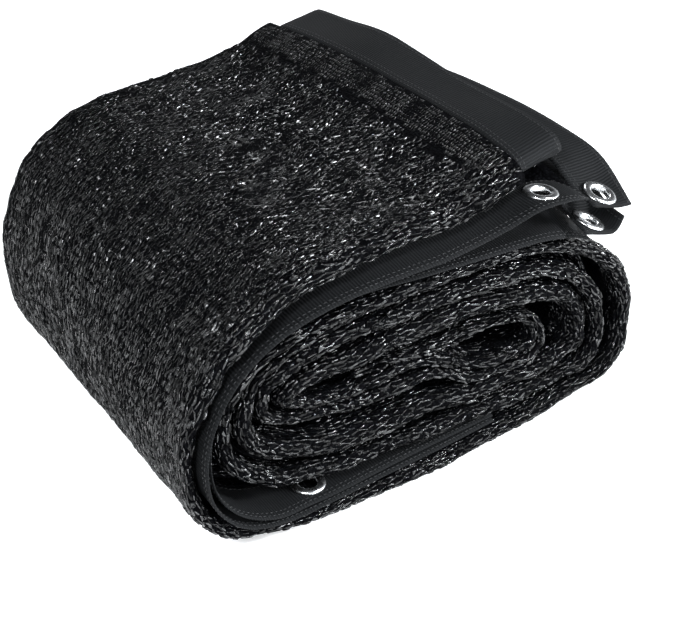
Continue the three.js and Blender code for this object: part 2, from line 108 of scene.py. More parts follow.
# How uneven the soft roll is
LUMPS = {"height": 1.3, "size": 42, "finer": 2.3, "finer_share": 0.45, "low_z": 14, "seed": 1}
noise.seed_set(LUMPS["seed"])

ACROSS_TAPE = 13  # points from edge to edge
TAPE_COLUMNS = ("x", "y", "z", "dx", "dz", "wide", "eyelet")
UPPER_TAPE = [
    (119, -156, 172.4, 0, 0.5, 8, 0),
    (110, -158.5, 177, 0, 1.5, 21, 0),
    (102.5, -160, 179.4, 0, -1.5, 36, 1),
    (75.5, -160, 182.6, 0, -1.5, 36, 0),
    (60, -157, 176.5, 0, 3, 36, 0),
    (43, -155.5, 171, 0, 6, 36, 0),
    (20, -155, 168.6, 0, 7, 36, 0),
    (0, -155, 167.2, 0, 7, 36, 0),
    (-18, -154.5, 166.4, 0, 7, 36, 0),
    (-44, -154.5, 166.8, 0, 6, 36, 0),
    (-70, -154, 165.5, 0, 5, 36, 0),
    (-96, -154, 161.8, -1, 3.5, 36, 0),
    (-119, -154, 155.2, -1.5, 2, 36, 0),
    (-141, -154, 143.4, -0.5, 0.5, 36, 0),
    (-154.5, -155, 131.6, 0, 0, 36, 0),
    (-166, -156, 112.5, 0, 0, 36, 0),
    (-173, -157, 88, -0.5, 0, 36, 0),
    (-170, -157, 61, 0, 0, 36, 0),
    (-159.5, -156, 40.5, 0, 0, 36, 0),
    (-143, -155, 27, 0, 0, 36, 0),
    (-120, -153, 19, 0, 0, 36, 0),
    (-92, -151, 15.2, 0, 0, 36, 0),
    (-40, -149, 14, 0, 0, 36, 0),
    (10, -147, 14.2, 0, 0, 36, 0),
    (60, -145, 14.4, 0, 0, 36, 0),
]
LOWER_TAPE = [
    (129, -151, 138.5, 0, 6, 24, 0),
    (115, -151.5, 144, 0, 11, 30, 0),
    (101, -152, 148.6, 0, 9, 36, 0),
    (83, -152, 152.4, 0, 4.5, 36, 0),
    (48, -152, 154.5, 0, 4, 36, 0),
    (14, -151, 156.8, 0, 3.5, 36, 0),
    (-20, -150, 158.5, 0, 3, 36, 0),
    (-52, -145, 159, 0, 3, 36, 0),
    (-84, -143.5, 156, -0.5, 3, 36, 0),
    (-112, -143.5, 149.6, -1, 2.5, 36, 0),
    (-134.6, -143.5, 140.6, -1, 1, 36, 0),
    (-150.2, -144, 127.6, -0.5, 0, 36, 0),
    (-162, -147, 108, -2, 0, 36, 0),
    (-168, -151, 86, -1, 0, 36, 0),
    (-165.5, -153, 64, 0, 0, 36, 0),
    (-155.5, -153, 45, 0, 0, 36, 0),
    (-139.5, -153, 31.5, 0, 0, 36, 0),
    (-119, -152, 22.8, 0, 0, 36, 0),
    (-101.5, -149, 19.6, 0, 0.5, 36, 1),
    (-74.5, -149, 18.8, 0, 0.5, 36, 0),
    (-40, -147, 17.6, 0, 0, 36, 0),
    (10, -143, 17.4, 0, 0, 36, 0),
    (60, -143, 17.3, 0, 0, 36, 0),
]

END_COLUMNS = ("layer", "y", "x", "z", "slope", "wide", "curl", "eyelet")
END_TAPE = [
    ("flap", -161, 118.5, 170.2, -16, 37, 10, 1),
    ("flap", -134, 120, 171.4, -5, 42, 25, 0),
    ("flap", -124, 122, 180.5, -3, 40, 10, 0),
    ("flap", -112, 121.5, 184.5, 0, 36, 0, 0),
    ("flap", -50, 117, 187, 0, 36, 0, 0),
    ("flap", 129, 100, 186.5, 0, 36, 0, 0),
    ("under the top", 130, 84.7, 195, 3, 36, 0, 0),
    ("under the top", -90, 84.7, 194, 3, 36, 0, 0),
    ("under the top", -128, 77.5, 190, 7, 36, 0, 0),
    ("top", -130, 71.7, 206, 13, 36, 0, 0),
    ("top", -108, 72.2, 207, 12.5, 36, 0, 0),
    ("top", -72, 72.4, 207, 7, 36, 0, 0),
    ("top", -36, 72.4, 207, 4.5, 36, 0, 0),
    ("top", 4, 72.4, 207, 9.5, 36, 0, 0),
    ("top", 48, 72.4, 207, 16.5, 36, 0, 0),
    ("top", 100, 72.4, 207, 9.5, 36, 0, 0),
    ("top", 143, 72.4, 206.8, 11.5, 36, 0, 0),
    ("lowest", 134, 128, 154.5, -12, 36, 0, 0),
    ("lowest", 60, 116, 154.5, -12, 36, 0, 0),
    ("lowest", -118, 112, 154.5, -12, 36, 0, 0),
    ("second lowest", -118, 116.5, 162, -9, 36, 0, 0),
    ("second lowest", 124, 116.5, 162, -8, 36, 0, 0),
    ("tab", 124, 110, 170, -7, 36, 0, 0),
    ("tab", -98, 114, 173.5, -8, 36, 0, 0),
    ("tab", -119, 118.5, 169, -14, 42, 40, 0),
    ("tab", -133, 115, 158, -24, 44, 75, 1),
    ("tab", -160, 113.5, 150.8, -14, 43, 75, 0),
]
MIXED = END_COLUMNS[2:7]
BEND_STEPS = 10
BEND_REACH = 11.0
END_TAPE_STEP = 4.0
CURL_WIDTH = 14.0
CURL_PACE = 1.6
EYELET_IN = 16.0  # from the seamed edge of the end tape to an eyelet's centre

CAMERA = {"at": (-0.4711, -0.7016, 0.5903), "pitch": 32.7, "turn": -35.8, "lens": 70.9}


# Small helpers

def clamp01(value):
    return min(1.0, max(0.0, value))


def mix(a, b, share):
    return a + (b - a) * share


def eased(share):
    return share * share * (3 - 2 * share)


def unit(vectors):
    return vectors / np.maximum(np.linalg.norm(vectors, axis=-1, keepdims=True), 1e-9)


def lumps(point):
    """How far the soft cloth has moved here, more gently where it is pressed on the floor."""
    place = Vector(point) / LUMPS["size"]
    finer = LUMPS["finer_share"] * noise.noise_vector(place * LUMPS["finer"])
    push = noise.noise_vector(place) + finer
    rest = clamp01(point[2] / LUMPS["low_z"])
    return np.array(push) * LUMPS["height"] * rest


def settled(x, y, z):
    """A point of the plain roll, where it lies on the real, uneven one."""
    along = (y - FRONT) / PACK_LENGTH
    leftness = clamp01((x - FAR_DRIFT["from_x"]) / (FAR_DRIFT["to_x"] - FAR_DRIFT["from_x"]))
    rightness = eased(clamp01((x - SWELL["from_x"]) / (SWELL["to_x"] - SWELL["from_x"])))
    swell = SWELL["height"] * clamp01(1 - ((y - SWELL["y"]) / SWELL["reach"]) ** 2)
    lift = swell * rightness * (z / SWELL["full_z"])
    drift = FAR_DRIFT["reach"] * mix(FAR_DRIFT["low"], 1, clamp01(z / FAR_DRIFT["full_z"]))
    point = np.array([x + drift * along * leftness, y, max(z + lift - PRESSED, 0.0)])
    return point + lumps(point)


def to_metres(points):
    return (np.asarray(points) + SHIFT) * MM


def steps_of(points):
    return np.linalg.norm(np.diff(points, axis=0), axis=1)


def run_along(points):
    """How far each point lies along its line."""
    return np.concatenate([[0], np.cumsum(steps_of(points))])


# The wound band

def face_point(face, at):
    """A point of the band's outer or inner face, on a curve from one row to the next."""
    row = min(int(at), LAST - 1)
    start, end = TURNS[row], TURNS[row + 1]
    span = [abs(end[face][i] - start[face][i]) for i in (0, 1)]
    handles = []
    for side in (start["side"], end["side"]):
        dx, dz = HEADING[side]
        reach = start["full"] * (abs(dx) * span[0] + abs(dz) * span[1])
        handles.append(np.array([dx * reach, dz * reach]))
    first, last = np.array(start[face], float), np.array(end[face], float)
    t = at - row
    return (
        (1 - t) ** 3 * first
        + 3 * (1 - t) ** 2 * t * (first + handles[0])
        + 3 * (1 - t) * t * t * (last - handles[1])
        + t**3 * last
    )


def band_at(at):
    row = min(int(at), LAST - 1)
    share = eased(at - row)
    band = {key: mix(TURNS[row][key], TURNS[row + 1][key], share) for key in COLUMNS[4:]}
    band["outer"] = face_point("out", at)
    band["inner"] = face_point("in", at)
    band["thick"] = float(np.linalg.norm(band["outer"] - band["inner"]))
    uneven = sum(height * math.sin(pace * at + start) for height, pace, start in RIPPLES)
    band["fold_tip"] = FRONT + band["fold_in"] + uneven
    band["lap_tip"] = FRONT + band["lap_in"] - uneven
    band["far"] = BACK + FAR_BEYOND + uneven
    return band


def slanted(at, band, depth):
    """The lower layers reach nearer to the free end than the top one."""
    slant = SEAM_SLANT * clamp01(1 - (at - SEAM_AT) / SEAM_SPAN)
    return at - slant * clamp01((depth - band["fold"]) / (band["thick"] - band["fold"]))


def placed(at, depth, y, band):
    """A point of the panel, depth being its distance from the band's outer face."""
    x, z = mix(band["outer"], band["inner"], depth / band["thick"])
    moved = slanted(at, band, depth)
    if moved < at:
        other = band_at(moved)
        x, z = mix(other["outer"], other["inner"], depth / band["thick"])
    return settled(x, y, z)


def even_rows(start, end, step):
    """Places along the band, a step apart on its outer face."""
    fine = np.linspace(start, end, 1600)
    points = np.array([face_point("out", at) for at in fine])
    run = run_along(points)
    count = int(round(run[-1] / step))
    return np.interp(np.linspace(0, run[-1], count + 1), run, fine)


# The section through the folded layers, as depth and y

def half_turn(start, end, tip, bulge, steps):
    """A fold from one layer to the next. bulge is how far it stands out, towards tip."""
    middle = (start + end) / 2
    angles = [math.pi * i / steps for i in range(steps + 1)]
    return [
        (middle + (start - middle) * math.cos(a), tip - bulge * (1 - math.sin(a))) for a in angles
    ]


def run_of(depth_from, depth_to, y_from, y_to, steps):
    shares = [(i + 1) / (steps + 1) for i in range(steps)]
    return [(mix(depth_from, depth_to, eased(s)), mix(y_from, y_to, s)) for s in shares]


def outer_fold(band, inset):
    """The outer ridge of the near end, from its lower side over its nose to the outer face."""
    bulge = band["fold"] * NOSE
    return half_turn(band["fold"] - inset, inset, band["fold_tip"] + inset, -bulge, 10)


def inner_fold(band, inset):
    thick = band["thick"]
    bulge = band["lap"] * NOSE
    low, high = thick - inset, thick - band["lap"] + inset
    return half_turn(low, high, band["lap_tip"] + inset, -bulge, 8)


def far_fold(band, inset):
    return half_turn(inset, band["thick"] - inset, band["far"] - inset, BACK_BULGE, 10)


def panel_path(band, inset):
    """The whole width of the cloth, from one taped edge to the other, through its six layers."""
    thick, far = band["thick"], band["far"]
    slack = max(thick - band["fold"] - band["lap"], LEAST_SLACK)
    upper = band["fold"] + slack * 0.3
    lower = band["fold"] + slack * 0.7
    edge = max(band["fold_tip"], band["lap_tip"]) + EDGE_BEHIND
    tuck = far - BACK_BULGE - TUCK_SHORT
    sixth = thick / 6
    nose = outer_fold(band, inset)
    lap = inner_fold(band, inset)
    return [
        (upper, edge),
        *run_of(upper, 2.4 * sixth, edge, tuck, 7),
        *half_turn(2.4 * sixth, 1.4 * sixth, tuck + 4, 4, 4),
        *run_of(1.4 * sixth, nose[0][0], tuck, nose[0][1], 9),
        *nose,
        *run_of(inset, inset, nose[-1][1], far - BACK_BULGE - inset, 20),
        *far_fold(band, inset),
        *run_of(thick - inset, thick - inset, far - BACK_BULGE - inset, lap[0][1], 12),
        *lap,
        *run_of(lap[-1][0], 4.6 * sixth, lap[-1][1], tuck, 8),
        *half_turn(4.6 * sixth, 3.6 * sixth, tuck + 4, 4, 4),
        *run_of(3.6 * sixth, lower, tuck, edge, 7),
        (lower, edge),
    ]


def offset_path(path, distance):
    points = np.array(path, float)
    ahead = np.vstack([points[1:], points[-1:]])
    behind = np.vstack([points[:1], points[:-1]])
    tangent = unit(ahead - behind)
    return points + np.stack([-tangent[:, 1], tangent[:, 0]], axis=1) * distance


# Meshes

def add_mesh(name, points, faces, material, tone=None):
    mesh = bpy.data.meshes.new(name)
    mesh.from_pydata([tuple(p) for p in to_metres(points)], [], faces)
    mesh.shade_smooth()
    if tone is not None:
        values = mesh.attributes.new("tone", "FLOAT", "POINT").data
        values.foreach_set("value", tone.astype(np.float32))
    mesh.materials.append(material)
    piece = bpy.data.objects.new(name, mesh)
    bpy.context.scene.collection.objects.link(piece)
    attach(piece, "root")
    return piece


def ring_faces(rings, size):
    """Faces between rings of points that follow each other."""
    faces = []
    for i in range(rings - 1):
        for j in range(size):
            a, b = i * size + j, i * size + (j + 1) % size
            faces.append((a, b, b + size, a + size))
    return faces


def strip_caps(rings, size):
    """Ends of a thin closed strip whose ring runs out along one face and back along the other."""
    half = size // 2
    last = (rings - 1) * size
    faces = []
    for j in range(half - 1):
        ring = (j, j + 1, size - 2 - j, size - 1 - j)
        faces.append(ring[::-1])
        faces.append(tuple(last + k for k in ring))
    return faces


def knit_panel(material):
    places = even_rows(SEAM_AT, LAST, PANEL_STEP)
    points = []
    for at in places:
        band = band_at(at)
        half = min(PANEL_HALF_THICK, band["lap"] * 0.16)
        path = panel_path(band, half)
        ring = np.vstack([offset_path(path, half), offset_path(path, -half)[::-1]])
        points.extend(placed(at, depth, y, band) for depth, y in ring)
    size = len(points) // len(places)
    faces = ring_faces(len(places), size) + strip_caps(len(places), size)
    return add_mesh("knit_panel", points, faces, material)


# Yarn: short roof-shaped floats of it that stand out of the knit, all along the wound direction

ACROSS_FACE = 60  # points from side to side of a face of the band
SKIN_STEP = 4.0
PATCH = 24.0  # how large the patches are where the yarn lies looser
LOOSE = {"middle": 0.66, "swing": 1.0, "least": 0.2, "most": 1.1}
WAVE = {"height": 0.14, "across": 0.7, "along": 0.35}
UNEVEN = {"along": 0.09, "across": 0.1, "length": 0.25, "lean": 0.35, "roll": 0.7, "pitch": 0.6}
HEIGHTS = (0.55, 1.3)
WIDTHS = (0.7, 1.25)
RIDGE_SHIFT = 0.8  # how far a roof's ridge may lie to one side
SUNK = 0.25  # how deep a float's tips lie in the knit
STATIONS = (-1, -0.6, 0.6, 1)
LEAF = (
    (0, 1, 2), (0, 2, 3), (0, 3, 1),
    (1, 4, 5, 2), (2, 5, 6, 3), (3, 6, 4, 1),
    (7, 5, 4), (7, 6, 5), (7, 4, 6),
)
LEAF_POINTS = 8
SEAM_BAND = 0.2  # how far the denser knit reaches from the end tape
STRIP_THICK = 1.0

# Pitch of the courses and the wales, height, width, length, how far a float leans, how unruly the
# floats are, how glossy, and how much the gloss varies
FLOATS = {
    "loops": (5.8, 2.8, 0.7, 2.0, 5.6, 0.4, 1.0, 0.35, 0.2),
    "laid in": (6.6, 3.0, 0.35, 1.5, 7.4, 2.0, 1.0, -0.1, 0.2),
    "seam band": (3.4, 2.3, 0.9, 1.5, 3.2, 0.2, 0.5, -0.05, 0.2),
    "ridges": (6.8, 2.65, 1.25, 2.4, 7.4, 0.7, 1.35, 0.15, 0.5),
    "far side": (5.8, 2.7, 0.9, 2.0, 6.4, 0.5, 1.0, 0.35, 0.2),
}


class Skin:
    """A surface as a grid of points, with its places given by shares of its two sides."""

    def __init__(self, points):
        self.points = points
        rows, columns = points.shape[:2]
        self.length = float(steps_of(points[:, columns // 2]).sum())
        self.width = float(steps_of(points[rows // 2]).sum())

    def at(self, along, across):
        rows, columns = self.points.shape[:2]
        a = np.clip(along, 0, 1) * (rows - 1)
        b = np.clip(across, 0, 1) * (columns - 1)
        i = np.minimum(a.astype(int), rows - 2)
        j = np.minimum(b.astype(int), columns - 2)
        u, v = (a - i)[:, None], (b - j)[:, None]
        grid = self.points
        near = mix(grid[i, j], grid[i, j + 1], v)
        far = mix(grid[i + 1, j], grid[i + 1, j + 1], v)
        return mix(near, far, u)


def face_of_band(start, end, section):
    """The skin over a stretch of the band, as wide as the section."""
    rows = []
    for at in even_rows(start, end, SKIN_STEP):
        band = band_at(at)
        line = np.array(section(band), float)
        run = run_along(line)
        shares = np.linspace(0, run[-1], ACROSS_FACE)
        depth = np.interp(shares, run, line[:, 0])
        y = np.interp(shares, run, line[:, 1])
        rows.append([placed(at, d, v, band) for d, v in zip(depth, y)])
    return Skin(np.array(rows))


def floats_on(skin, kind, seed):
    """Floats in courses along the skin and wales across it, as points, faces and tones."""
    course, wale, rise, width, length, slant, wild, gloss, spread = FLOATS[kind]
    draw = np.random.default_rng(seed)
    courses = int(skin.length / course)
    wales = max(int(skin.width / wale), 2)
    i, j = np.meshgrid(np.arange(courses), np.arange(wales), indexing="ij")
    i, j = i.ravel(), j.ravel()
    count = len(i)
    wave = WAVE["height"] * np.sin(j * WAVE["across"] + i * WAVE["along"])
    along = (i + 0.5 + wave + wild * draw.normal(0, UNEVEN["along"], count)) / courses
    across = (j + 0.5 + wild * draw.normal(0, UNEVEN["across"], count)) / wales
    longer = wild * draw.uniform(-UNEVEN["length"], UNEVEN["length"], count)
    reach = length / skin.length / 2 * (1 + longer)
    side_to_side = np.where((i + j) % 2, 1, -1)
    lean = slant / skin.width * draw.normal(1, UNEVEN["lean"], count) * side_to_side
    keep = (along > reach) & (along < 1 - reach) & (across > 0) & (across < 1)
    along, across, reach, lean = (values[keep] for values in (along, across, reach, lean))
    count = len(along)
    high = rise * draw.uniform(*HEIGHTS, count)
    half = width / 2 * draw.uniform(*WIDTHS, count)
    spots = [skin.at(along + reach * s, across + lean * s) for s in STATIONS]
    patch = np.array([noise.noise(Vector(p) / PATCH) for p in spots[1]])
    loose = np.clip(LOOSE["middle"] + LOOSE["swing"] * patch, LOOSE["least"], LOOSE["most"]) * wild
    roll = draw.normal(0, UNEVEN["roll"], count) * loose
    pitch_up = draw.normal(0, UNEVEN["pitch"], count) * loose
    heading = unit(spots[2] - spots[1])
    side = skin.at(along, across + 0.5 / wales) - skin.at(along, across - 0.5 / wales)
    normal = unit(np.cross(heading, side))
    side = unit(np.cross(normal, heading))
    turn, lift = np.cos(roll)[:, None], np.sin(roll)[:, None]
    wing = (side * turn + normal * lift) * half[:, None]
    crest = normal * turn - side * lift
    shift = wing * draw.uniform(-RIDGE_SHIFT, RIDGE_SHIFT, count)[:, None]
    points = [spots[0] - normal * SUNK]
    for spot, tip in ((spots[1], -1), (spots[2], 1)):
        ridge = spot + shift + crest * (high * (1 + pitch_up * tip))[:, None]
        points.extend([spot - wing, spot + wing, ridge])
    points.append(spots[3] - normal * SUNK)
    vertices = np.stack(points, axis=1).reshape(-1, 3)
    vertices[:, 2] = np.maximum(vertices[:, 2], 0.0)
    bases = range(0, len(vertices), LEAF_POINTS)
    faces = [tuple(base + k for k in face) for base in bases for face in LEAF]
    tone = np.clip(gloss + 0.3 * loose + draw.normal(0, spread, count), 0, 1)
    return vertices, faces, np.repeat(tone, LEAF_POINTS)


def yarn_piece(name, parts, material):
    """Joins floats into one piece."""
    points, faces, tones, base = [], [], [], 0
    for vertices, part_faces, tone in parts:
        points.append(vertices)
        faces.extend(tuple(base + k for k in face) for face in part_faces)
        tones.append(tone)
        base += len(vertices)
    return add_mesh(name, np.vstack(points), faces, material, tone=np.concatenate(tones))


def outer_section(band):
    middle = (0, 60)
    return [*outer_fold(band, 0), middle, *far_fold(band, 0)]


def lap_section(band):
    thick, lap, tip = band["thick"], band["lap"], band["lap_tip"]
    return [(thick, tip + 26), *inner_fold(band, 0), (thick - lap, tip + 14)]


def fold_section(band):
    tip = band["fold_tip"]
    return [(band["fold"], tip + 16), *outer_fold(band, 0), (0, tip + 30)]


def far_section(band):
    return far_fold(band, 0)


# Tapes

def smooth_curve(points, t):
    """A centripetal curve through points, t running from 0 to 1 in even shares of them."""
    last = len(points) - 1
    spot = last * t
    i = min(int(spot), last - 1)
    w = spot - i
    p1, p2 = points[i], points[i + 1]
    p0 = points[i - 1] if i > 0 else 2 * points[0] - points[1]
    p3 = points[i + 2] if i + 2 <= last else 2 * points[last] - points[last - 1]
    pairs = ((p0, p1), (p1, p2), (p2, p3))
    g0, g1, g2 = [max(np.linalg.norm(b - a), 1e-6) ** 0.5 for a, b in pairs]
    t1 = ((p1 - p0) / g0 - (p2 - p0) / (g0 + g1) + (p2 - p1) / g1) * g1
    t2 = ((p2 - p1) / g1 - (p3 - p1) / (g1 + g2) + (p3 - p2) / g2) * g1
    return p1 + t1 * w + (3 * (p2 - p1) - 2 * t1 - t2) * w**2 + (2 * (p1 - p2) + t1 + t2) * w**3


def side_tape_lines(table, steps=8):
    """Lines across a side tape, from its outer edge to its inner one, and its eyelets' seats."""
    rows = [dict(zip(TAPE_COLUMNS, row)) for row in table]
    near = [settled(r["x"], r["y"], r["z"]) for r in rows]
    far = []
    for r in rows:
        reach = math.sqrt(r["wide"] ** 2 - r["dx"] ** 2 - r["dz"] ** 2)
        far.append(settled(r["x"] + r["dx"], r["y"] + reach, r["z"] + r["dz"]))
    count = (len(rows) - 1) * steps
    shares = [i / count for i in range(count + 1)]
    across = np.linspace(0, 1, ACROSS_TAPE)[:, None]
    lines = np.array([mix(smooth_curve(near, s), smooth_curve(far, s), across) for s in shares])
    seats = [
        seat((near[i], far[i]), (near[i + 1], far[i + 1]), 0.5)
        for i, r in enumerate(rows)
        if r["eyelet"]
    ]
    return softened(lines, seats), seats


def seat(before, after, share):
    """An eyelet's centre and direction, between two lines across the tape."""
    near, far = (before[0] + after[0]) / 2, (before[1] + after[1]) / 2
    along = after[0] + after[-1] - before[0] - before[-1]
    up = unit(np.cross(along, far - near))
    return mix(near, far, share), up if up[2] > 0 else -up


def softened(lines, seats, rounds=14):
    """Evens out a tape's kinks, but keeps it flat under its eyelets."""
    held = np.ones(lines.shape[:2])
    for centre, _ in seats:
        away = np.linalg.norm(lines - centre, axis=2) - EYELET_RADIUS - 1
        held = np.minimum(held, np.clip(away / 5, 0, 1))
    for _ in range(rounds):
        middle = (lines[:-2] + lines[2:]) / 2
        lines[1:-1] = mix(lines[1:-1], middle, 0.5 * held[1:-1, :, None])
    return lines


def end_rows_between(start, end):
    """Rows along a layer of the end tape, or round the bend to its next layer."""
    if start["layer"] == end["layer"]:
        steps = max(math.ceil(abs(end["y"] - start["y"]) / END_TAPE_STEP), 2)
        shares = [(i + 1) / steps for i in range(steps - 1)]
        share_of = (lambda s: s) if start["eyelet"] else eased
        rows = [{k: mix(start[k], end[k], share_of(s)) for k in MIXED} for s in shares]
        return [{**row, "y": mix(start["y"], end["y"], s)} for row, s in zip(rows, shares)]
    side = math.copysign(1, start["y"])
    bulge = min(abs(end["z"] - start["z"]) / 2, BEND_REACH)
    rows = []
    for i in range(1, BEND_STEPS):
        angle = math.pi * i / BEND_STEPS
        share = (1 - math.cos(angle)) / 2
        row = {k: mix(start[k], end[k], share) for k in ("y", *MIXED)}
        row["y"] += side * bulge * math.sin(angle)
        rows.append(row)
    return rows


def end_section(row):
    """Points from the seamed edge of the end tape to its free edge, which may curl up."""
    flat = row["wide"] - CURL_WIDTH
    slope, curl = math.radians(row["slope"]), math.radians(row["curl"])
    x, z, done = row["x"], row["z"], 0.0
    points = [settled(x, row["y"], z)]
    for reach in np.linspace(0, row["wide"], ACROSS_TAPE)[1:]:
        turned = slope + curl * clamp01((reach - flat) / CURL_WIDTH * CURL_PACE)
        x += (reach - done) * math.cos(turned)
        z += (reach - done) * math.sin(turned)
        done = reach
        points.append(settled(x, row["y"], z))
    return points


def end_seat(start, end):
    """Where the part has this eyelet, on the flat stretch between two rows."""
    ends = []
    for row in (start, end):
        flat = row["wide"] - CURL_WIDTH
        slope = math.radians(row["slope"])
        rise = math.radians(row["slope"] + row["curl"])
        crease = row["x"] + flat * math.cos(slope), row["z"] + flat * math.sin(slope)
        free = crease[0] + CURL_WIDTH * math.cos(rise), crease[1] + CURL_WIDTH * math.sin(rise)
        spots = ((row["x"], row["z"]), crease, free)
        ends.append([settled(x, row["y"], z) for x, z in spots])
    return seat(*ends, EYELET_IN / (start["wide"] - CURL_WIDTH))


def end_tape_lines():
    table = [dict(zip(END_COLUMNS, row)) for row in END_TAPE]
    rows = []
    for start, end in zip(table, table[1:]):
        rows.append(start)
        rows.extend(end_rows_between(start, end))
    rows.append(table[-1])
    seats = [end_seat(start, end) for start, end in zip(table, table[1:]) if start["eyelet"]]
    return softened(np.array([end_section(row) for row in rows]), seats), seats


THIN_EDGE = 0.45


def thin_band(name, lines, thick, material):
    """A thin closed band over lines across it. Also gives its upward directions."""
    along = np.gradient(lines[:, lines.shape[1] // 2], axis=0)
    up = unit(np.cross(np.gradient(lines, axis=1), along[:, None]))
    edges = [THIN_EDGE] + [1] * (lines.shape[1] - 2) + [THIN_EDGE]
    half = thick / 2 * np.array(edges)[None, :, None]
    ring = np.concatenate([lines + up * half, (lines - up * half)[:, ::-1]], axis=1)
    count, size = ring.shape[:2]
    faces = ring_faces(count, size) + strip_caps(count, size)
    return add_mesh(name, ring.reshape(-1, 3), faces, material), up


def ribbon(name, lines, material):
    """A tape, with its length and width in metres as its UV map."""
    piece, up = thin_band(name, lines, TAPE_THICK, material)
    run = run_along(lines[:, ACROSS_TAPE // 2])
    layer = piece.data.uv_layers.new(name="tape")
    shares = np.linspace(0, TAPE_WIDTH * MM, ACROSS_TAPE)
    across_of = np.concatenate([shares, shares[::-1]])
    where = np.stack(np.meshgrid(run * MM, across_of, indexing="ij"), axis=-1).reshape(-1, 2)
    corners = np.zeros(len(piece.data.loops), dtype=np.int32)
    piece.data.loops.foreach_get("vertex_index", corners)
    layer.data.foreach_set("uv", where[corners].astype(np.float32).ravel())
    return piece, {"lines": lines, "up": up, "run": run}


JOIN_STEP = 6.0
JOIN_POINTS = 9
JOIN_SMOOTHED = 9
CORNER = {"from_x": 108, "start": (141, -114, 143), "end": (110, -98, 149)}


def joining_lines(tape_lines, layer, corner):
    """Lines over the knit from a side tape's inner edge to the panel's layer that it edges."""
    spots = [settled(*corner)]
    for at in even_rows(SEAM_AT, JOINED_TO, JOIN_STEP):
        band = band_at(at)
        spots.append(placed(at, *panel_path(band, 0)[layer], band))
    spots = np.array(spots)
    near = tape_lines[tape_lines[:, -1, 0] < corner[0], -1][::4]
    nearest = [np.argmin(np.linalg.norm(spots - point, axis=1)) for point in near]
    nearest = np.maximum.accumulate(nearest)
    padded = np.pad(nearest, JOIN_SMOOTHED // 2, mode="edge")
    even = np.convolve(padded, np.ones(JOIN_SMOOTHED) / JOIN_SMOOTHED, mode="valid")
    far = np.stack([np.interp(even, np.arange(len(spots)), spots[:, k]) for k in range(3)], axis=1)
    across = np.linspace(0, 1, JOIN_POINTS)[:, None]
    return np.array([mix(a, b, across) for a, b in zip(near, far)])


def corner_lines(tape_lines):
    """Lines over the knit behind the lower tape's free corner."""
    near = tape_lines[tape_lines[:, -1, 0] > CORNER["from_x"], -1]
    shares = np.linspace(0, 1, len(near))[:, None]
    far = mix(settled(*CORNER["start"]), settled(*CORNER["end"]), shares)
    across = np.linspace(0, 1, JOIN_POINTS)[:, None]
    return np.array([mix(a, b, across) for a, b in zip(near, far)])


PUNCH = {"wider": 0.7, "depth": 9.0, "sides": 32}


def punched(piece, seats):
    """Cuts the holes that the eyelets' barrels fill."""
    for centre, up in seats:
        bpy.ops.mesh.primitive_cylinder_add(
            vertices=PUNCH["sides"],
            radius=(EYELET_HOLE_RADIUS + PUNCH["wider"]) * MM,
            depth=PUNCH["depth"] * MM,
            location=to_metres(centre),
        )
        punch = bpy.context.active_object
        punch.rotation_euler = Vector(up).to_track_quat("Z", "Y").to_euler()
        cut = piece.modifiers.new("eyelet hole", "BOOLEAN")
        cut.object = punch
        cut.operation = "DIFFERENCE"
        cut.solver = "EXACT"
        bpy.context.view_layer.objects.active = piece
        bpy.ops.object.modifier_apply(modifier=cut.name)
        bpy.data.objects.remove(punch)


STITCH = {"length": 2.7, "gap": 1.1, "thick": 0.7}
STITCH_ARCH = ((0, -0.1), (0.5, 0.35), (1, -0.1))  # share of its length, and height
STITCH_DEPTH = 0.2
SEAM_COLUMNS = (1, 2, ACROSS_TAPE - 2)


def stitches(name, lines, material):
    """Rows of stitches on a tape. Each line has its points, their normals and sides."""
    points, faces = [], []
    for spots, normals, sides in lines:
        run = run_along(spots)
        starts = np.arange(1, run[-1] - STITCH["length"], STITCH["length"] + STITCH["gap"])
        for start in starts:
            base = len(points)
            for share, lift in STITCH_ARCH:
                where = start + share * STITCH["length"]
                spot, normal, side = (
                    np.array([np.interp(where, run, a[:, k]) for k in range(3)])
                    for a in (spots, normals, sides)
                )
                half = STITCH["thick"] / 2 * side
                crown, foot = spot + normal * lift, spot - normal * STITCH_DEPTH
                points.extend([spot - half, crown, spot + half, foot])
            stitch = [*ring_faces(3, 4), (3, 2, 1, 0), (8, 9, 10, 11)]
            faces.extend(tuple(base + k for k in face) for face in stitch)
    return add_mesh(name, points, faces, material)


def stitch_line(tape, column, face):
    """A seam's line on one face of a tape, along one of its columns of points."""
    up = tape["up"][:, column] * face
    spots = tape["lines"][:, column] + up * (TAPE_THICK / 2)
    return spots, up, unit(tape["lines"][:, column] - tape["lines"][:, column - 1])


# Eyelets

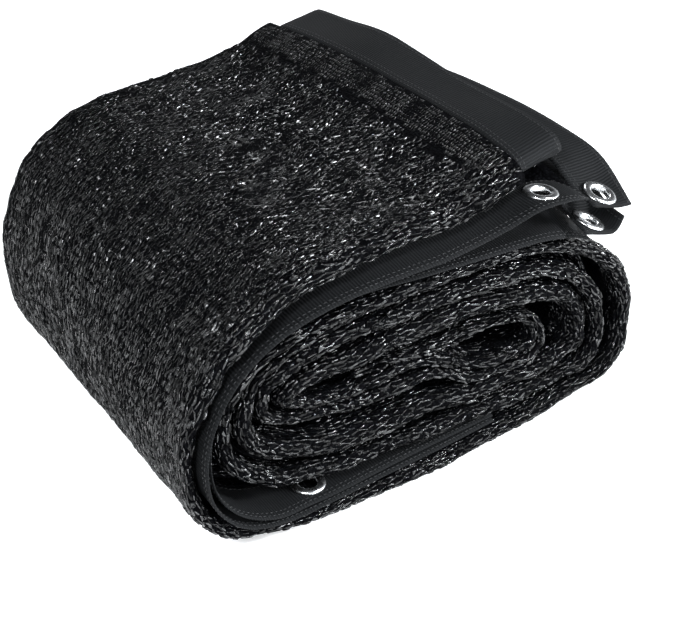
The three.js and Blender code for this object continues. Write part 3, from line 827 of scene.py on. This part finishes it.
def eyelet(name, place, material, segments=56):
    """A rolled rim over a barrel, with its washer behind the tape."""
    centre, up = place
    hole, rim = EYELET_HOLE_RADIUS, EYELET_RADIUS
    wall = hole + 0.6
    slot = TAPE_THICK / 2 + 0.1
    crown = [
        (hole, slot + 0.3), (hole + 0.25, slot + 1.0), (hole + 0.9, slot + 1.55),
        (hole + 1.8, slot + 1.9), (rim - 2.4, slot + 1.9), (rim - 1.3, slot + 1.65),
        (rim - 0.5, slot + 1.15), (rim - 0.05, slot + 0.5), (rim - 0.1, slot),
    ]
    back = [
        (wall, slot), (wall, -slot), (rim - 0.3, -slot), (rim - 0.5, -slot - 0.6),
        (rim - 1.6, -slot - 0.95), (wall + 1.2, -slot - 0.95), (wall + 0.3, -slot - 1.15),
        (hole, -slot - 0.7),
    ]
    profile = crown + back
    turn = Vector(up).to_track_quat("Z", "Y").to_matrix()
    points = []
    for i in range(segments):
        angle = 2 * math.pi * i / segments
        for radius, height in profile:
            local = Vector((radius * math.cos(angle), radius * math.sin(angle), height))
            points.append(np.array(turn @ local) + centre)
    size = len(profile)
    faces = []
    for i in range(segments):
        for j in range(size):
            a, b = i * size + j, i * size + (j + 1) % size
            c, d = (i + 1) % segments * size + (j + 1) % size, (i + 1) % segments * size + j
            faces.append((a, d, c, b))
    return add_mesh(name, points, faces, material)


# Materials

def new_material(name, color, roughness, metallic=0.0):
    material = bpy.data.materials.new(name)
    material.use_nodes = True
    shader = material.node_tree.nodes["Principled BSDF"]
    shader.inputs["Base Color"].default_value = (*color, 1)
    shader.inputs["Roughness"].default_value = roughness
    shader.inputs["Metallic"].default_value = metallic
    return material, material.node_tree, shader


def node(tree, kind, **inputs):
    made = tree.nodes.new(kind)
    for key, value in inputs.items():
        made.inputs[key].default_value = value
    return made


def ramp(tree, source, stops):
    """A colour ramp, whose stops hold a place with a colour or with a single value."""
    made = tree.nodes.new("ShaderNodeValToRGB")
    while len(made.color_ramp.elements) < len(stops):
        made.color_ramp.elements.new(0.5)
    for element, (place, color) in zip(made.color_ramp.elements, stops):
        element.position = place
        element.color = (*color, 1) if len(color) == 3 else (color[0],) * 3 + (1,)
    tree.links.new(source, made.inputs["Fac"])
    return made.outputs["Color"]


def bump(tree, shader, height, distance, strength):
    made = node(tree, "ShaderNodeBump", Distance=distance, Strength=strength)
    tree.links.new(height, made.inputs["Height"])
    tree.links.new(made.outputs["Normal"], shader.inputs["Normal"])


def knit_base_material():
    material, tree, shader = new_material("knit base", (0.001, 0.001, 0.0012), 0.6)
    shader.inputs["Specular IOR Level"].default_value = 0.005
    coords = tree.nodes.new("ShaderNodeTexCoord")
    weave = node(tree, "ShaderNodeTexVoronoi", Scale=480.0, Randomness=0.7)
    tree.links.new(coords.outputs["Object"], weave.inputs["Vector"])
    stops = [(0.1, (0.0032, 0.0034, 0.004)), (0.6, (0.0008, 0.0008, 0.001))]
    shade = ramp(tree, weave.outputs["Distance"], stops)
    tree.links.new(shade, shader.inputs["Base Color"])
    bump(tree, shader, weave.outputs["Distance"], 0.0008, 0.8)
    return material


def yarn_material():
    material, tree, shader = new_material("black tape yarn", (0.006, 0.0064, 0.0074), 0.24)
    tone = tree.nodes.new("ShaderNodeAttribute")
    tone.attribute_name = "tone"
    value = tone.outputs["Fac"]
    stops = [
        (0.0, (0.0004, 0.0004, 0.0005)),
        (0.6, (0.0009, 0.001, 0.0013)),
        (1.0, (0.0032, 0.0036, 0.0045)),
    ]
    tree.links.new(ramp(tree, value, stops), shader.inputs["Base Color"])
    gloss = ramp(tree, value, [(0.0, (0.32,)), (0.5, (0.19,)), (1.0, (0.11,))])
    tree.links.new(gloss, shader.inputs["Roughness"])
    shine = ramp(tree, value, [(0.0, (0.2,)), (0.5, (0.42,)), (1.0, (0.75,))])
    tree.links.new(shine, shader.inputs["Specular IOR Level"])
    coords = tree.nodes.new("ShaderNodeTexCoord")
    grain = node(tree, "ShaderNodeTexNoise", Scale=1000.0, Detail=2.0)
    tree.links.new(coords.outputs["Object"], grain.inputs["Vector"])
    bump(tree, shader, grain.outputs["Fac"], 0.0005, 0.7)
    return material


def tape_material():
    material, tree, shader = new_material("edge tape", (0.008, 0.0085, 0.0092), 0.75)
    shader.inputs["Specular IOR Level"].default_value = 0.1
    place = tree.nodes.new("ShaderNodeUVMap")
    place.uv_map = "tape"
    ribs = node(tree, "ShaderNodeTexWave", Scale=150.0, Distortion=0.4)
    ribs.bands_direction = "X"
    tree.links.new(place.outputs["UV"], ribs.inputs["Vector"])
    fibres = node(tree, "ShaderNodeTexNoise", Scale=900.0, Detail=4.0)
    tree.links.new(place.outputs["UV"], fibres.inputs["Vector"])
    height = tree.nodes.new("ShaderNodeMath")
    height.operation = "ADD"
    tree.links.new(ribs.outputs["Fac"], height.inputs[0])
    tree.links.new(fibres.outputs["Fac"], height.inputs[1])
    stops = [(0.0, (0.0024, 0.0027, 0.003)), (1.0, (0.0068, 0.0074, 0.0082))]
    shade = ramp(tree, ribs.outputs["Fac"], stops)
    tree.links.new(shade, shader.inputs["Base Color"])
    bump(tree, shader, height.outputs["Value"], 0.0004, 0.6)
    return material


def thread_material():
    material, tree, shader = new_material("black thread", (0.01, 0.0105, 0.0115), 0.55)
    shader.inputs["Specular IOR Level"].default_value = 0.35
    coords = tree.nodes.new("ShaderNodeTexCoord")
    grain = node(tree, "ShaderNodeTexNoise", Scale=2500.0)
    tree.links.new(coords.outputs["Object"], grain.inputs["Vector"])
    bump(tree, shader, grain.outputs["Fac"], 0.0002, 0.6)
    return material


def metal_material():
    material, tree, shader = new_material("nickel plate", (0.78, 0.79, 0.8), 0.28, 1.0)
    coords = tree.nodes.new("ShaderNodeTexCoord")
    wear = node(tree, "ShaderNodeTexNoise", Scale=260.0, Detail=5.0)
    tree.links.new(coords.outputs["Object"], wear.inputs["Vector"])
    gloss = ramp(tree, wear.outputs["Fac"], [(0.35, (0.24,)), (0.7, (0.3,))])
    tree.links.new(gloss, shader.inputs["Roughness"])
    bump(tree, shader, wear.outputs["Fac"], 0.0002, 0.05)
    return material


FLOOR_SIZE = 60.0  # metres, as are all places of the stage
FLOOR_LIGHT_REACH = 4.0


def floor_material():
    """Pale, and glowing with painted light of its own: dimly by the roll, which lightens its
    shadow there, and brighter towards the horizon, where it meets the studio's white.
    """
    material, tree, shader = new_material("pale floor", (0.9, 0.9, 0.9), 0.7)
    # The floor glows: painted light, dim near the roll to lighten its shadow there, whiter further
    # off.
    shader.inputs["Emission Strength"].default_value = 1.0
    coords = tree.nodes.new("ShaderNodeTexCoord")
    away = tree.nodes.new("ShaderNodeVectorMath")
    away.operation = "LENGTH"
    tree.links.new(coords.outputs["Object"], away.inputs[0])
    share = tree.nodes.new("ShaderNodeMath")
    share.operation = "DIVIDE"
    share.inputs[1].default_value = FLOOR_LIGHT_REACH
    tree.links.new(away.outputs["Value"], share.inputs[0])
    glow = ramp(tree, share.outputs["Value"], [(0.0, (0.35,)), (0.25, (0.35,)), (1.0, (0.95,))])
    tree.links.new(glow, shader.inputs["Emission Color"])
    return material


# Stage

LIGHT_COLOR = (0.94, 0.97, 1.0)
LIGHT_TARGET = (0, 0, 0.1)
LIGHTS = (  # name, place, size in metres and power in watts
    ("key", (0.75, -0.7, 1.4), 0.34, 10),
    ("front left", (-1.1, -0.8, 1.3), 0.26, 30),
    ("front right", (1.3, -1.0, 0.65), 0.26, 52),
    ("front", (-0.1, -1.6, 0.5), 0.26, 24),
    ("back left", (-1.1, 1.2, 1.0), 0.3, 15),
    ("back", (0.8, 1.3, 1.2), 0.24, 10),
)


def add_floor():
    bpy.ops.mesh.primitive_plane_add(size=FLOOR_SIZE, location=(0, 0, 0))
    floor = bpy.context.active_object
    floor.name = "floor"
    floor.data.materials.append(floor_material())


def add_light(name, place, size, power):
    data = bpy.data.lights.new(name, "AREA")
    data.size = size
    data.energy = power
    data.color = LIGHT_COLOR
    light = bpy.data.objects.new(name, data)
    light.location = place
    aim = Vector(LIGHT_TARGET) - Vector(place)
    light.rotation_euler = aim.to_track_quat("-Z", "Y").to_euler()
    bpy.context.scene.collection.objects.link(light)


def add_world():
    """White at the horizon and dark above, so that the black knit keeps its contrast."""
    world = bpy.data.worlds.new("studio")
    world.use_nodes = True
    background = world.node_tree.nodes["Background"]
    background.inputs["Strength"].default_value = 1.0
    tree = world.node_tree
    coords = tree.nodes.new("ShaderNodeTexCoord")
    height = tree.nodes.new("ShaderNodeSeparateXYZ")
    tree.links.new(coords.outputs["Generated"], height.inputs["Vector"])
    stops = [(0.0, (0.9, 0.92, 0.95)), (0.1, (0.75, 0.77, 0.8)), (0.35, (0.047, 0.048, 0.05))]
    tree.links.new(ramp(tree, height.outputs["Z"], stops), background.inputs["Color"])
    bpy.context.scene.world = world
    bpy.context.scene.view_settings.view_transform = "Standard"


def add_camera():
    data = bpy.data.cameras.new("photo camera")
    data.lens = CAMERA["lens"]
    data.sensor_width = 36
    camera = bpy.data.objects.new("photo camera", data)
    camera.location = CAMERA["at"]
    pitch, turn = math.radians(90 - CAMERA["pitch"]), math.radians(CAMERA["turn"])
    camera.rotation_euler = (pitch, 0, turn)
    bpy.context.scene.collection.objects.link(camera)
    bpy.context.scene.camera = camera


add_camera()
add_world()
add_floor()
for light in LIGHTS:
    add_light(*light)

# Knit
base = knit_base_material()
yarn = yarn_material()
panel = knit_panel(base)
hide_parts("cloth_roll")

outsides = [
    face_of_band(start, end, outer_section)
    for start, end in ((SEAM_AT + SEAM_BAND, HALF_WAY), (HALF_WAY, COVERED_AT))
]
loops, laid = (
    [floats_on(skin, kind, seed + i) for i, skin in enumerate(outsides)]
    for kind, seed in (("loops", 11), ("laid in", 21))
)
ridges = [
    floats_on(face_of_band(start, end, section), kind, seed)
    for start, end, section, kind, seed in (
        (SEAM_AT, SEAM_AT + SEAM_BAND, outer_section, "seam band", 13),
        (SEAM_AT, LAST, fold_section, "ridges", 14),
        (SEAM_AT, LAST, lap_section, "ridges", 15),
        (COVERED_AT, LAST, far_section, "far side", 16),
    )
]

upper_lines, upper_seats = side_tape_lines(UPPER_TAPE)
lower_lines, lower_seats = side_tape_lines(LOWER_TAPE)
end_lines, end_seats = end_tape_lines()

strips, strip_loops = [], []
for name, joined in (
    ("upper", joining_lines(upper_lines, 0, (114, -112, 183))),
    ("lower", joining_lines(lower_lines, -1, (110, -98, 171))),
    ("corner", corner_lines(lower_lines)),
):
    strips.append(thin_band("knit_to_tape_" + name, joined, STRIP_THICK, base)[0])
    strip_loops.append(floats_on(Skin(joined), "loops", 17))

yarns = [
    yarn_piece("yarn_loops_top", [loops[0]], yarn),
    yarn_piece("yarn_loops_under", [loops[1]], yarn),
    yarn_piece("yarn_laid_in_top", [laid[0]], yarn),
    yarn_piece("yarn_laid_in_under", [laid[1]], yarn),
    yarn_piece("yarn_on_ridges", ridges, yarn),
    yarn_piece("yarn_by_tapes", strip_loops, yarn),
    *strips,
]

# Tapes, their stitches and eyelets
webbing = tape_material()
thread = thread_material()
metal = metal_material()
for name, lines, seats, eyelet_nodes in (
    ("side_tape_upper", upper_lines, upper_seats, ["eyelet_upper_tape"]),
    ("side_tape_lower", lower_lines, lower_seats, ["eyelet_lower_tape"]),
    ("end_tape", end_lines, end_seats, ["eyelet_end_flap", "eyelet_end_tab"]),
):
    tape, measured = ribbon("edge_" + name, lines, webbing)
    punched(tape, seats)
    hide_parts(name)
    seams = [stitch_line(measured, column, face) for column in SEAM_COLUMNS for face in (1, -1)]
    thread_piece = stitches("thread_" + name, seams, thread)
    for place, eyelet_node in zip(seats, eyelet_nodes):
        ring = eyelet("ring_" + eyelet_node, place, metal)
        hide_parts(eyelet_node)
